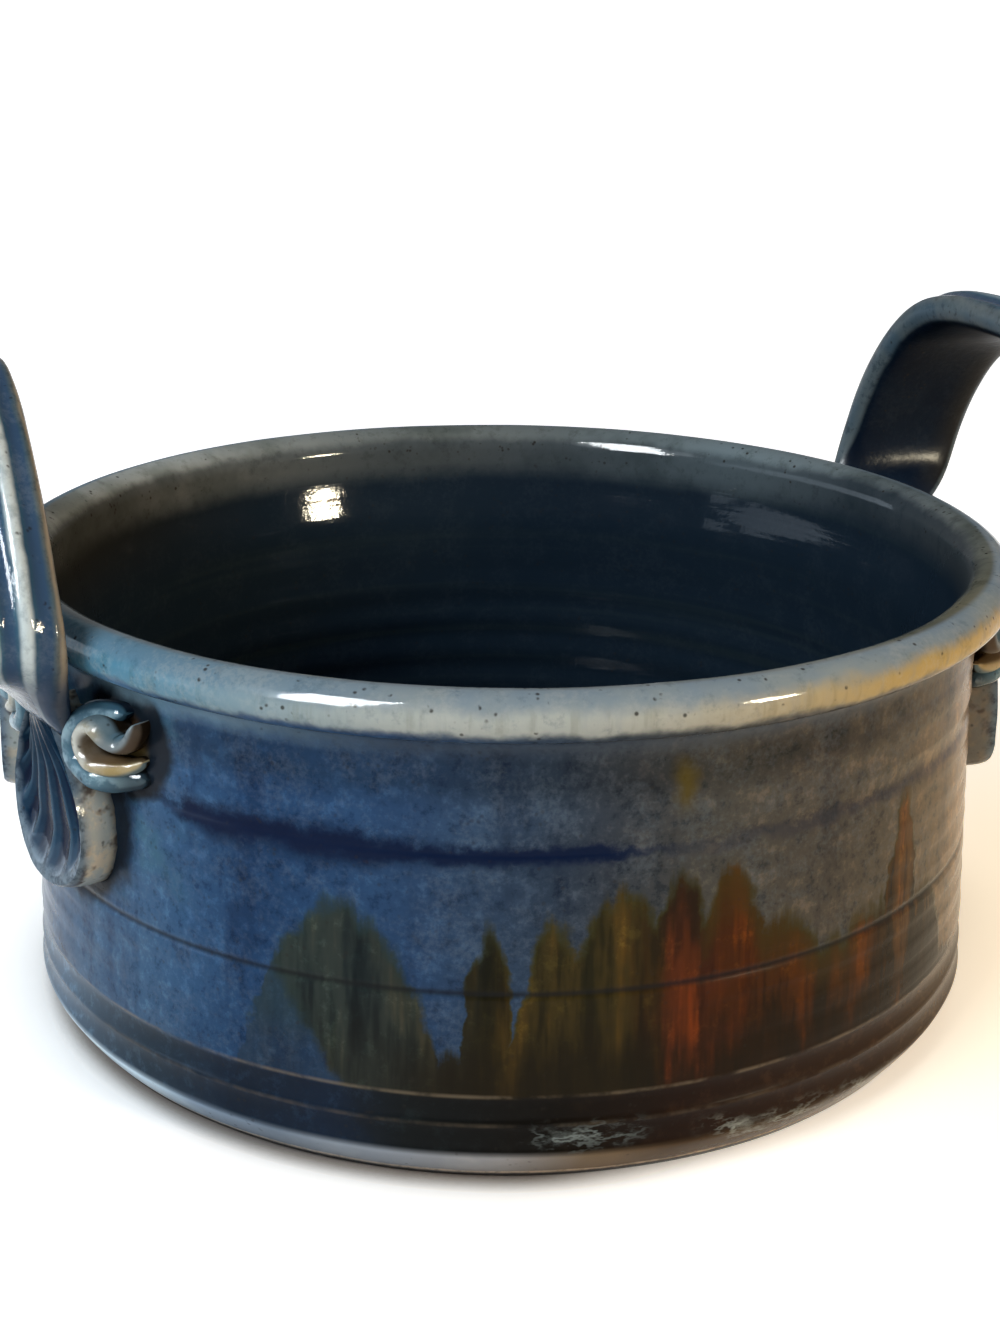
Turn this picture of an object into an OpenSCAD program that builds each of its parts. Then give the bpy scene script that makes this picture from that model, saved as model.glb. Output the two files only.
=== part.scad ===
// Round stoneware baking dish: a thrown pot with two arched strap handles, whose ends are
// pressed to the wall as ribbed shells between rolled scrolls. The foot stands on z = 0, the
// dish turns about the Z axis and the handles lie on +X and -X. Lengths are in millimetres.

/* [Dish] */
// Radius at the crest of the rim
rim_r = 104; // [96:0.5:112]
// Height of the rim above the table
dish_h = 98.6; // [90:0.2:110]
// How far the crest of the rim stands out past the top of the wall
rim_overhang = 2.6; // [2:0.1:3.4]
// How much wider the wall is at its lower edge than at its top
wall_flare = 2.8; // [1:0.1:5]
// Thickness of the wall
wall_t = 6.2; // [4.5:0.1:8]
// Thickness of the floor
floor_t = 8; // [6:0.1:10]
// Radius of the curve between floor and wall inside
floor_curve = 16; // [10:0.5:22]
// Depth of the throwing rings inside
ring_depth = 0.35; // [0:0.05:0.6]
// Height between one throwing ring and the next
ring_pitch = 9.5; // [7:0.1:14]

/* [Rim] */
// Thickness of the rolled rim
bead_d = 9.4; // [8:0.1:10.6]
// Radius of the hollow under the rolled rim
neck_curve = 4; // [3:0.1:5]

/* [Foot and turned lines] */
// Height of the bevel round the foot
bevel_h = 7.6; // [5:0.1:9]
// How far the foot is drawn in under the wall
bevel_in = 5.2; // [3:0.1:7]
// Height of the lower turned edge
low_edge_z = 13.6; // [12.5:0.1:15]
// Height of the upper turned edge
high_edge_z = 19.6; // [18:0.1:22]
// Depth of the hollow bands between the turned edges
band_depth = 1.1; // [0.4:0.1:1.6]
// Height of the incised line
line_z = 40; // [34:0.5:46]
// Width of the incised line
line_w = 1.6; // [1:0.1:2.4]
// Depth of the incised line
line_depth = 0.6; // [0.3:0.05:1]
// How far below the rim the broad groove runs
groove_drop = 31; // [27:0.5:34]
// Width of the broad groove
groove_w = 5; // [3:0.1:6]
// Depth of the broad groove
groove_depth = 0.8; // [0.3:0.05:1.2]

/* [Handle straps] */
// Distance between the legs of a handle at the height of the rim
arch_span = 99; // [92:0.5:106]
// Height of the left arch over the rim, to its underside
left_rise = 39.6; // [35:0.2:50]
// Height of the right arch over the rim, to its underside
right_rise = 42.6; // [35:0.2:50]
// Width of the strap
strap_w = 31.8; // [28:0.2:35]
// Thickness of the strap
strap_t = 9.2; // [8:0.1:10]
// Depth of the flutes along the outer face of the strap
flute_depth = 1; // [0:0.1:1.6]
// Slope of the legs towards each other
leg_tilt = 29; // [22:0.5:33]
// How squarely the legs run on into the arch
leg_pull_len = 15; // [11:0.5:20]
// Flatness of the top of the arch
top_pull_len = 26; // [20:0.5:30]
// Space between the rim and the legs of the left handle
left_gap = 4.6; // [4.2:0.1:12]
// Space between the rim and the legs of the right handle
right_gap = 9.6; // [4.2:0.1:12]
// Outward lean of the left handle
left_lean = 2.5; // [0:0.5:8]
// Outward lean of the right handle
right_lean = 6.5; // [0:0.5:8]

/* [Strap ends] */
// How far inside the leg, along the rim, the middle of its shell lies
end_inset = 21.3; // [19:0.1:23]
// Width of the strap where it meets its shell
end_w = 31; // [26:0.5:33]
// Thickness of the strap where it meets its shell
end_t = 6.4; // [5.6:0.1:7.2]
// How far the edges of the strap stand out past the rim where it meets its shell
end_past = 0.9; // [0.5:0.1:2]
// Length of the strap over its shell before it begins to twist
twist_from = 1; // [0:0.1:2]
// How slowly the strap twists
twist_len = 6.6; // [5:0.1:8]

/* [Shells] */
// Widest part of a shell
shell_w = 31; // [27:0.2:33]
// Height of a shell, from its lowest edge up to the neck under the rim
shell_h = 41.5; // [38:0.5:46]
// Thickness of a shell at its lower edge
shell_low_t = 7; // [4:0.1:8.5]
// Depth of the hollow of a shell
shell_hollow = 1.6; // [0.6:0.1:2.2]
// Height of the ribs in a shell
rib_h = 1; // [0.3:0.05:1.4]
// Number of ribs in a shell
rib_count = 11; // [9:1:13]

/* [Scrolls] */
// Diameter of a scroll
scroll_d = 18.4; // [15:0.2:19]
// Thickness of the rolled strip
scroll_strip = 3.7; // [3:0.1:4]
// Turns in a scroll
scroll_turns = 0.95; // [0.8:0.05:1]
// How far a scroll stands off the wall
scroll_t = 7.6; // [6:0.1:9]
// Width of the shell between its two scrolls
shell_neck_w = 13.6; // [11:0.2:16]
// Width of the shell at its top, under the strap
shell_top_w = 24; // [20:0.2:27]
// Space between the end of the strap and the top of a scroll
scroll_drop = 0.5; // [0.3:0.1:3]

/* [Seams] */
// Width of the seam between pieces that are luted together
seam = 0.25; // [0.15:0.05:0.4]

/* [Hidden] */

glaze_blue = [0.17, 0.26, 0.40];
glaze_pale = [0.36, 0.45, 0.51];
glaze_break = [0.50, 0.44, 0.33];

bead_r = bead_d / 2;
bead_z = dish_h - bead_r;
rim_out_r = rim_r + bead_r;
neck_r = rim_r - rim_overhang;
low_r = neck_r + wall_flare;
foot_r = low_r - bevel_in;

// The hollow under the rim is an arc that touches both the wall and the rolled rim
neck_x = neck_r + neck_curve;
neck_reach = neck_curve + bead_r;
neck_z = bead_z - sqrt(neck_reach ^ 2 - (rim_r - neck_x) ^ 2);
neck_turn = atan2(bead_z - neck_z, rim_r - neck_x);
groove_z = dish_h - groove_drop;

// Shape of the wall and fineness of the curves
wall_ease = 1.5;
arc_step = 9;
wall_step = 4;
ring_steps = 6;
band_steps = 6;
inner_turn = 200;
inner_blend = 18;

function lerp(a, b, s) = a + (b - a) * s;
function clamp(s) = min(max(s, 0), 1);
function ease(s) = let (x = clamp(s)) x * x * (3 - 2 * x);
function unit(v) = v / norm(v);
function bezier(p, s) =
  (1 - s) ^ 3 * p[0] + 3 * (1 - s) ^ 2 * s * p[1] + 3 * (1 - s) * s ^ 2 * p[2] + s ^ 3 * p[3];
function steps(length, step) = max(1, ceil(abs(length) / step));
function arc(x, z, r, from, to) =
  let (n = steps(to - from, arc_step))
  [for (i = [0:n]) let (a = lerp(from, to, i / n)) [x + r * cos(a), z + r * sin(a)]];

// Outer radius of the plain wall, without its turned lines
function wall_r(z) =
  neck_r + wall_flare * (1 - clamp((z - bevel_h) / (neck_z - bevel_h))) ^ wall_ease;
function wall_run(from, to) =
  let (n = steps(to - from, wall_step))
  [for (i = [0:n]) let (z = lerp(from, to, i / n)) [wall_r(z), z]];
function hollow_band(from, to) =
  [for (i = [1:band_steps - 1]) let (z = lerp(from, to, i / band_steps))
    [wall_r(z) - band_depth * sin(180 * i / band_steps), z]];

// Inner radius of the wall, with its throwing rings, up to the inner side of the rolled rim
inner_top = [rim_r + bead_r * cos(inner_turn), bead_z + bead_r * sin(inner_turn)];
function inner_r(z) =
  let (plain = wall_r(z) - wall_t - ring_depth * cos(360 * z / ring_pitch))
  lerp(plain, inner_top[0], ease((z - inner_top[1] + inner_blend) / inner_blend));
inner_low_z = floor_t + floor_curve;
inner_low_r = inner_r(inner_low_z);
inner_n = steps(inner_top[1] - inner_low_z, ring_pitch / ring_steps);

dish_outline = concat(
  [[0, 0], [foot_r, 0], [low_r, bevel_h]],
  hollow_band(bevel_h, low_edge_z),
  [[wall_r(low_edge_z), low_edge_z]],
  hollow_band(low_edge_z, high_edge_z),
  wall_run(high_edge_z, line_z - line_w / 2),
  [[wall_r(line_z) - line_depth, line_z]],
  wall_run(line_z + line_w / 2, groove_z - groove_w / 2),
  [[wall_r(groove_z) - groove_depth, groove_z]],
  wall_run(groove_z + groove_w / 2, neck_z - 1),
  arc(neck_x, neck_z, neck_curve, 180, neck_turn),
  arc(rim_r, bead_z, bead_r, neck_turn - 180 + arc_step, inner_turn),
  [for (i = [1:inner_n]) let (z = lerp(inner_top[1], inner_low_z, i / inner_n)) [inner_r(z), z]],
  arc(inner_low_r - floor_curve, inner_low_z, floor_curve, -arc_step, -90),
  [[0, floor_t]]
);

module thrown_dish() {
  color(glaze_blue) rotate_extrude($fn = 180) polygon(dish_outline);
}

// A skin over rings of points, with flat caps at both ends
module skin(rings) {
  n = len(rings[0]);
  last = len(rings) - 1;
  sides = [for (i = [0:last - 1], j = [0:n - 1])
    let (a = i * n + j, b = i * n + (j + 1) % n)
    each [[a, b, b + n], [a, b + n, a + n]]];
  start = [[for (j = [n - 1:-1:0]) j]];
  finish = [[for (j = [0:n - 1]) last * n + j]];
  polyhedron([for (ring = rings) each ring], concat(start, sides, finish), convexity = 8);
}

// A point on the wall: x along the wall from the angle a, z up, and out square to the wall
function on_wall(a, x, z, out) =
  let (turn = a + x / neck_r * 180 / PI, r = wall_r(z) + out)
  [r * cos(turn), r * sin(turn), z];

// The strap stands on its shell just under the hollow of the rim
end_z = neck_z - seam;

// Handles are drawn on +X, with y along the rim, and turned to their side afterwards
leg_y = arch_span / 2;
rim_at_leg = sqrt(rim_out_r ^ 2 - leg_y ^ 2);
end_r = rim_out_r + end_past;
end_angle = asin((leg_y - end_inset) / end_r);
end_edge = [
  end_r * cos(end_angle) - end_w / 2 * sin(end_angle),
  end_r * sin(end_angle) + end_w / 2 * cos(end_angle),
  end_z
];
end_turn = end_angle - 90;
inner_share = 0.45;
end_run_len = 4;
leg_run_len = 5;
low_steps = 8;
high_steps = 16;
nudge = 0.005;
flutes = 4;
outer_points = 24;
inner_points = 8;

// Rings across the strap: the outer face is fluted, the inner face is plain
function strap_edge(x) = sqrt(1 - x ^ 4);
function flute(x) = flute_depth / 2 * (1 - cos(180 * flutes * x));
function twist(length) =
  let (u = max(0, length - twist_from) / twist_len) 1 - (1 + u) * exp(-u);
function strap_section(w, t) = concat(
  [for (i = [0:outer_points]) let (x = 2 * i / outer_points - 1)
    [(x + 1) * w / 2, ((1 - inner_share) * t - flute(x)) * strap_edge(x)]],
  [for (i = [1:inner_points - 1]) let (x = 1 - 2 * i / inner_points)
    [(x + 1) * w / 2, -inner_share * t * strap_edge(x)]]
);
function strap_ring(edge, run, across, w, t) =
  let (out = unit(cross(run, across)))
  [for (p = strap_section(w, t)) edge + p[0] * across + p[1] * out];

// Half of a strap, from the end on its shell to the top of the arch: s is 1 at the rim. Its inner
// edge is a plain curve, and the strap turns about that edge from the wall to square over the rim
function strap_half(gap, rise, lean) =
  let (
    up = [sin(lean), 0, cos(lean)],
    leg = [rim_at_leg + gap, leg_y, dish_h],
    run = cos(leg_tilt) * up - [0, sin(leg_tilt), 0],
    before = leg - run * leg_run_len,
    top = [rim_at_leg + gap, 0, dish_h] + up * rise,
    low = [end_edge, end_edge + unit(before - end_edge) * end_run_len, before, leg],
    high = [leg, leg + run * leg_pull_len, top + [0, top_pull_len, 0], top]
  )
  [for (i = [0:low_steps + high_steps])
    let (s = i < low_steps ? i / low_steps : 1 + (i - low_steps) / high_steps)
    let (part = s < 1 ? low : high, q = s < 1 ? s : s - 1)
    let (ahead = unit(bezier(part, q + nudge) - bezier(part, q - nudge)))
    let (turn = end_turn * (1 - twist(min(s, 1) * norm(leg - end_edge) + max(s - 1, 0) * norm(top - leg))))
    let (dip = lean * ease(s))
    strap_ring(
      bezier(part, q),
      unit(lerp([0, 0, 1], ahead, ease(2 * s))),
      [cos(turn) * cos(dip), sin(turn), -cos(turn) * sin(dip)],
      lerp(end_w, strap_w, ease(s)),
      lerp(end_t, strap_t, ease(s))
    )];

module handle_strap(gap, rise, lean) {
  half = strap_half(gap, rise, lean);
  n = len(half) - 1;
  mirrored = [for (i = [n - 1:-1:0]) [for (p = half[i]) [p[0], -p[1], p[2]]]];
  color(glaze_pale) skin(concat(half, mirrored));
}

scroll_r = scroll_d / 2;
scroll_x = shell_neck_w / 2 + seam + scroll_r;
scroll_z = end_z - scroll_drop - scroll_r;

// Half width of a shell at the height z: round below, and hollowed beside the scrolls
shell_low_z = neck_z - shell_h;
shell_round = 0.85;
shell_wide_z = shell_low_z + shell_round * shell_w / 2;
shell_tip = 0.3;
function shell_shape(z) = z < shell_wide_z
  ? shell_w / 2 * max(shell_tip, sqrt(1 - ((shell_wide_z - z) / (shell_wide_z - shell_low_z)) ^ 2))
  : lerp(shell_w, shell_top_w, clamp((z - shell_wide_z) / (end_z - shell_wide_z))) / 2;
function beside_scroll(z) =
  scroll_x - sqrt(max(0, (scroll_r + seam) ^ 2 - (z - scroll_z) ^ 2));
function shell_half(z) = min(shell_shape(z), beside_scroll(z));

shell_top_out = end_r - wall_r(end_z) + (1 - inner_share) * end_t - flute_depth;
shell_top_z = end_z - seam;
face_rise = 0.7;
fade_low = 0.2;
fade_high = 0.33;
shell_rows = 18;
shell_cols = 2 * rib_count;

// How far the face of a shell stands off the wall: s runs up the shell, x across it
function shell_face(s, x, i) =
  let (fade = ease(s / fade_low) * ease((1 - s) / fade_high))
  lerp(shell_low_t, shell_top_out, ease(s / face_rise))
    - shell_hollow * fade * (1 - x * x)
    + rib_h / 2 * fade * (i % 2 == 0 ? -1 : 1) * (1 - x ^ 4);

module shell(a) {
  n = shell_cols;
  color(glaze_pale) skin([for (j = [0:shell_rows])
    let (s = j / shell_rows, z = lerp(shell_low_z, shell_top_z, s), w = shell_half(z))
    concat(
      [for (i = [0:n]) let (x = 2 * i / n - 1) on_wall(a, x * w, z, shell_face(s, x, i))],
      [for (i = [n:-1:0]) let (x = 2 * i / n - 1) on_wall(a, x * w, z, seam)]
    )]);
}

// A scroll is a strip that rolls inwards, standing on edge on the wall
scroll_rings = 22;
scroll_sides = 8;
scroll_peak = sin(90 - 180 / scroll_sides);
scroll_start = -50;
scroll_low = 0.7;
roll_r = scroll_r - scroll_strip / 2;
roll_hold = 0.4;
roll_in = scroll_strip + 2 * seam;

module scroll(a, side) {
  rings = [for (i = [0:scroll_rings])
    let (s = i / scroll_rings)
    let (turn = scroll_start - 360 * scroll_turns * s)
    let (r = roll_r - roll_in * ease((s - roll_hold) / (1 - roll_hold)))
    let (tall = scroll_t * lerp(scroll_low, 1, ease(2 * s)))
    [for (k = [0:scroll_sides - 1])
      let (q = 360 * (k + 0.5) / scroll_sides)
      let (across = r + scroll_strip / 2 * cos(q))
      let (out = seam + (tall - seam) * (1 + sin(q) / scroll_peak) / 2)
      on_wall(a, side * (scroll_x + across * cos(turn)), scroll_z + across * sin(turn), out)]];
  turned = [for (ring = rings) [for (k = [scroll_sides - 1:-1:0]) ring[k]]];
  color(glaze_break) skin(side > 0 ? turned : rings);
}

sides = [["right", 0], ["left", 180]];
ends = [["front", -1], ["rear", 1]];
rolls = [["outer", 1], ["inner", -1]];

thrown_dish();
rotate(180) handle_strap(left_gap, left_rise, left_lean);  // handle_strap_left
handle_strap(right_gap, right_rise, right_lean);  // handle_strap_right
for (side = sides, end = ends) {
  // Seen from outside, the front end of the left handle lies past its middle, and the rear before
  way = side[0] == "left" ? -end[1] : end[1];
  a = side[1] + way * end_angle;
  name = str(side[0], "_", end[0]);
  shell(a);
  for (roll = rolls)
    scroll(a, way * roll[1]);
}
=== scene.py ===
import math

import bmesh
import bpy
from mathutils import Matrix, Vector


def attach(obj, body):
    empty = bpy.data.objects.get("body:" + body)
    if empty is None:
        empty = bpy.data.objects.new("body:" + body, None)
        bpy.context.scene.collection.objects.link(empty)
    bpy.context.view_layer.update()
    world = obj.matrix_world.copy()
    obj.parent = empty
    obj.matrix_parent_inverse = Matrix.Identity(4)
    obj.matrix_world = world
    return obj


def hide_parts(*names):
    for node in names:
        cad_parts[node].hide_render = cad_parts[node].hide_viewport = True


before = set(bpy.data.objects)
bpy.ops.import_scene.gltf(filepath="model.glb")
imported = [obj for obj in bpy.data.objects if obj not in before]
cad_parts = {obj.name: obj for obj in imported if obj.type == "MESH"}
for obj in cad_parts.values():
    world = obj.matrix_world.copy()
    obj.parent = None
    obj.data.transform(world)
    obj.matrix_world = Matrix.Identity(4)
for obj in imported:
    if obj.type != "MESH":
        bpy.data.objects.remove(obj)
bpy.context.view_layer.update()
scene = bpy.context.scene
mm = 0.001


# small helpers
def lerp(a, b, s):
    return a + (b - a) * s


def clamp(s):
    return min(max(s, 0.0), 1.0)


def ease(s):
    s = clamp(s)
    return s * s * (3 - 2 * s)


def bezier(p, s):
    return (1 - s) ** 3 * p[0] + 3 * (1 - s) ** 2 * s * p[1] + 3 * (1 - s) * s ** 2 * p[2] + s ** 3 * p[3]


def smoothPath(points, count):
    # even steps along a soft curve through the points
    pts = [Vector(p) for p in points]
    pts = [pts[0] * 2 - pts[1]] + pts + [pts[-1] * 2 - pts[-2]]
    perPiece = 24
    dense = []
    for i in range(1, len(pts) - 2):
        a, b, c, d = pts[i - 1:i + 3]
        for k in range(perPiece):
            s = k / perPiece
            dense.append(0.5 * (2 * b + (c - a) * s + (2 * a - 5 * b + 4 * c - d) * s * s
                                + (3 * b - a - 3 * c + d) * s ** 3))
    dense.append(pts[-2])
    reach = [0.0]
    for i in range(1, len(dense)):
        reach.append(reach[-1] + (dense[i] - dense[i - 1]).length)
    even, j = [], 0
    for i in range(count):
        want = reach[-1] * i / (count - 1)
        while j < len(reach) - 2 and reach[j + 1] < want:
            j += 1
        span = reach[j + 1] - reach[j]
        even.append(dense[j].lerp(dense[j + 1], (want - reach[j]) / span if span else 0))
    return even


def deselectAll():
    if bpy.context.object and bpy.context.object.mode != "OBJECT":
        bpy.ops.object.mode_set(mode="OBJECT")
    bpy.ops.object.select_all(action="DESELECT")


def closeMesh(piece, soft=40):
    # merge what touches, turn the faces outwards and shade softly
    bpy.ops.object.mode_set(mode="EDIT")
    bpy.ops.mesh.select_all(action="SELECT")
    bpy.ops.mesh.remove_doubles(threshold=1e-6)
    bpy.ops.mesh.normals_make_consistent(inside=False)
    bpy.ops.object.mode_set(mode="OBJECT")
    bpy.ops.object.shade_smooth_by_angle(angle=math.radians(soft))
    return piece


def extrudeRings(name, rings, marks):
    # a filled circle is drawn out ring by ring; marks are values that the glaze reads back
    deselectAll()
    count = len(rings[0])
    bpy.ops.mesh.primitive_circle_add(vertices=count, radius=0.01, fill_type="NGON")
    piece = bpy.context.object
    piece.name = piece.data.name = name
    bpy.ops.object.mode_set(mode="EDIT")
    bpy.ops.mesh.select_all(action="SELECT")
    mesh = bmesh.from_edit_mesh(piece.data)
    layers = {mark: mesh.verts.layers.float.new(mark) for mark in marks}
    mesh.verts.ensure_lookup_table()
    row = [mesh.verts[i].index for i in range(count)]
    for i, ring in enumerate(rings):
        if i:
            bpy.ops.mesh.extrude_region_move()
            mesh = bmesh.from_edit_mesh(piece.data)
            layers = {mark: mesh.verts.layers.float[mark] for mark in marks}
            mesh.verts.ensure_lookup_table()
            old = {index: k for k, index in enumerate(row)}
            fresh = [0] * count
            for vert in [v for v in mesh.verts if v.select]:
                for edge in vert.link_edges:
                    other = edge.other_vert(vert).index
                    if other in old and not mesh.verts[other].select:
                        fresh[old[other]] = vert.index
            row = fresh
        for k, index in enumerate(row):
            mesh.verts[index].co = Vector(ring[k]) * mm
            for mark, table in marks.items():
                mesh.verts[index][layers[mark]] = table[i][k]
    bmesh.update_edit_mesh(piece.data)
    bpy.ops.object.mode_set(mode="OBJECT")
    return closeMesh(piece)


def handMade(piece, depth, size):
    # clay worked by hand is never quite true
    cloud = bpy.data.textures.new(piece.name + "_wobble", "CLOUDS")
    cloud.noise_scale = size
    wobble = piece.modifiers.new("wobble", "DISPLACE")
    wobble.texture, wobble.texture_coords = cloud, "LOCAL"
    wobble.strength, wobble.mid_level = depth * mm, 0.5
    bpy.ops.object.modifier_apply(modifier="wobble")
    return piece


def finishPiece(piece, material, slot, *nodes):
    piece.data.materials.clear()
    piece.data.materials.append(material)
    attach(piece, "root")
    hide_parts(*nodes)


# sizes of the dish, in millimetres
dish = {
    "rimRadius": 104.0, "height": 98.6, "rimOverhang": 2.6, "wallFlare": 2.8, "wallThickness": 6.2,
    "floorThickness": 8.0, "floorCurve": 16.0, "floorWave": 0.25, "floorRows": 22, "hollowRows": 62,
    "ringDepth": 0.35, "ringPitch": 9.5, "ringFade": 30.0, "insideGlaze": 0.65,
    "beadRadius": 4.7, "neckCurve": 4.0, "arcStep": 6,
    "lipRadius": 6.0, "lipRing": 3.4, "lipFrom": 72.0, "lipRise": 18.0,
    "underLift": 0.5, "bevelHeight": 7.6, "bevelIn": 5.2, "bevelBulge": 0.35, "bevelRows": 9,
    "lowEdge": 13.6, "highEdge": 19.6, "bandDepth": 0.6,
    "lineHeight": 40.0, "lineDepth": 0.15, "lineWidth": 0.7,
    "grooveHeight": 67.6, "grooveDepth": 0.35, "grooveWidth": 2.4,
    "throwingMarks": ((0.09, 0.9, 0), (0.06, 2.3, 1)),  # depth, pace and start of each wave
    "spinSteps": 240, "wobble": 0.45, "wobbleSize": 0.055,
}
beadHeight = dish["height"] - dish["beadRadius"]
neckRadius = dish["rimRadius"] - dish["rimOverhang"]
neckMiddle = neckRadius + dish["neckCurve"]
neckHeight = beadHeight - math.sqrt((dish["neckCurve"] + dish["beadRadius"]) ** 2
                                    - (dish["rimRadius"] - neckMiddle) ** 2)
neckTurn = math.atan2(beadHeight - neckHeight, dish["rimRadius"] - neckMiddle)
rimOuter = dish["rimRadius"] + dish["beadRadius"]


def wallRadius(z):
    return neckRadius + dish["wallFlare"] * (1 - clamp((z - dish["bevelHeight"])
                                                       / (neckHeight - dish["bevelHeight"]))) ** 1.5


def turnedRadius(z):
    # the wall with its turned bands, the incised line, the groove and faint throwing marks
    r = wallRadius(z)
    for low, high in ((dish["bevelHeight"], dish["lowEdge"]), (dish["lowEdge"], dish["highEdge"])):
        if low < z < high:
            r -= dish["bandDepth"] * math.sin(math.pi * (z - low) / (high - low)) ** 0.8
    r -= dish["lineDepth"] * math.exp(-((z - dish["lineHeight"]) / dish["lineWidth"]) ** 2)
    r -= dish["grooveDepth"] * math.exp(-((z - dish["grooveHeight"]) / dish["grooveWidth"]) ** 2)
    if z > dish["highEdge"] + 2:
        r += sum(depth * math.sin(z * pace + start) for depth, pace, start in dish["throwingMarks"])
    return r


def innerRadius(z):
    # a soft ring below the lip and faint throwing rings lower down
    fade = ease((dish["lipFrom"] - z) / dish["ringFade"])
    rings = dish["ringDepth"] * fade * math.cos(2 * math.pi * z / dish["ringPitch"])
    lean = dish["lipRing"] * ease((z - dish["lipFrom"]) / dish["lipRise"])
    return wallRadius(z) - dish["wallThickness"] - dish["insideGlaze"] - rings + lean


def arcPoints(x, z, r, start, stop, step):
    n = max(1, math.ceil(abs(stop - start) / step))
    turns = [math.radians(lerp(start, stop, i / n)) for i in range(n + 1)]
    return [(x + r * math.cos(a), z + r * math.sin(a)) for a in turns]


def dishProfile():
    # from the middle of the underside, up the wall, over the rim and down to the middle of the floor
    footRadius = wallRadius(0) - dish["bevelIn"]
    points = [(footRadius * s, dish["underLift"] * (1 - ease((s - 0.86) / 0.08))) for s in
              (0, 0.15, 0.3, 0.45, 0.6, 0.75, 0.85, 0.88, 0.91, 0.94, 0.97, 0.988)]
    points += [(footRadius - 0.2, 0.04), (footRadius + 0.25, 0.25)]
    for i in range(1, dish["bevelRows"]):
        s = i / dish["bevelRows"]
        bulge = dish["bevelBulge"] * math.sin(math.pi * s)
        points.append((lerp(footRadius, wallRadius(0), s) + bulge, lerp(0.2, 7.3, s)))
    z = dish["bevelHeight"]
    while z < neckHeight - 0.9:
        points.append((turnedRadius(z), z))
        z += 0.5 if z < 21 else 0.4 if abs(z - dish["lineHeight"]) < 2.4 else 1.0
    turn, step = math.degrees(neckTurn), dish["arcStep"]
    points += arcPoints(neckMiddle, neckHeight, dish["neckCurve"], 180, turn, step)
    points += arcPoints(dish["rimRadius"], beadHeight, dish["beadRadius"], turn - 180 + step, 90, step)
    points += arcPoints(dish["rimRadius"], dish["height"] - dish["lipRadius"], dish["lipRadius"], 95, 175, 5)
    low = dish["floorThickness"] + dish["floorCurve"]
    top = points[-1][1]
    n = dish["hollowRows"]
    points += [(innerRadius(z), z) for z in (lerp(top, low, i / n) for i in range(1, n + 1))]
    points += arcPoints(innerRadius(low) - dish["floorCurve"], low, dish["floorCurve"], -8, -90, 7)
    reach = points[-1][0]
    n = dish["floorRows"]
    points += [(reach * s, dish["floorThickness"] + dish["floorWave"] * math.cos(s * 46) * s) for s in
               [1 - i / n for i in range(1, n)]] + [(0, dish["floorThickness"])]
    return points


def makeDish():
    profile = dishProfile()
    deselectAll()
    bpy.ops.mesh.primitive_plane_add(size=0.01)
    piece = bpy.context.object
    piece.name = piece.data.name = "glazed_dish"
    bpy.ops.object.mode_set(mode="EDIT")
    bpy.ops.mesh.select_mode(type="VERT")
    bpy.ops.mesh.select_all(action="SELECT")
    bpy.ops.mesh.merge(type="CENTER")
    last = Vector((profile[0][0], 0, profile[0][1])) * mm
    bpy.ops.transform.translate(value=last)
    for r, z in profile[1:]:
        here = Vector((r, 0, z)) * mm
        bpy.ops.mesh.extrude_vertices_move(TRANSFORM_OT_translate={"value": here - last})
        last = here
    bpy.ops.mesh.select_all(action="SELECT")
    bpy.ops.mesh.spin(steps=dish["spinSteps"], angle=2 * math.pi, center=(0, 0, 0), axis=(0, 0, 1))
    return handMade(closeMesh(piece, 50), dish["wobble"], dish["wobbleSize"])


glazedDish = makeDish()
print("dish", len(glazedDish.data.polygons), "faces")

# strap handles: a half climbs from its foot on the wall, turns across the rim and rises to the top
strap = {
    "span": 99.0, "width": 31.8, "thickness": 9.2, "fluteDepth": 1.5, "flutes": 5, "innerShare": 0.45,
    "endInset": 21.3, "endWidth": 31.0, "footWidth": 24.5, "endThickness": 6.4, "endPast": 0.9, "endDown": 0.25,
    "endRun": 4.0, "twistFrom": -1.5, "twistLength": 4.4, "widenRun": 8.0, "thickenRun": 34.0,
    "fluteFrom": 6.0, "fluteRun": 20.0,
    "rootSteps": 18, "rootDrop": 12.5, "rootNarrow": 0.64, "rootIn": 2.6, "rootDeep": 3.0,
    "softShare": 0.25, "softFrom": 19.0, "softOver": 24.0,
    "steps": 92, "lowPoints": 16, "highPoints": 40, "edgePoints": 8, "outerPoints": 34, "innerPoints": 14,
    "wobble": 0.5, "wobbleSize": 0.03,
}
# lengths in millimetres, and lean, dip, legTilt and turn in degrees
handles = {
    "left": {"gap": 4.6, "rise": 39.6, "lean": 2.5, "dip": 2.5, "topPull": 27.0, "legPull": 15.0,
             "legTilt": 29.0, "legRun": 5.0, "spread": 0.0, "softPasses": 44, "turn": 180},
    "right": {"gap": 12.8, "rise": 41.9, "lean": 5.1, "dip": 12.6, "topPull": 24.7, "legPull": 40.0,
              "legTilt": 18.6, "legRun": 10.2, "spread": 0.4, "softPasses": 194, "turn": 0},
}
legY = strap["span"] / 2
rimAtLeg = math.sqrt(rimOuter ** 2 - legY ** 2)
endRadius = rimOuter + strap["endPast"]
endAngle = math.asin((legY - strap["endInset"]) / endRadius)
endHeight = neckHeight - strap["endDown"]


def acrossShares(middle):
    # close together round the edges of the strap, even between them
    n = strap["edgePoints"]
    edge = [abs(math.cos(math.radians(72 * i / n))) ** (1 / 3) for i in range(n + 1)]
    return [-x for x in edge] + [edge[-1] * (2 * i / middle - 1) for i in range(1, middle)] + edge[::-1]


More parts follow.
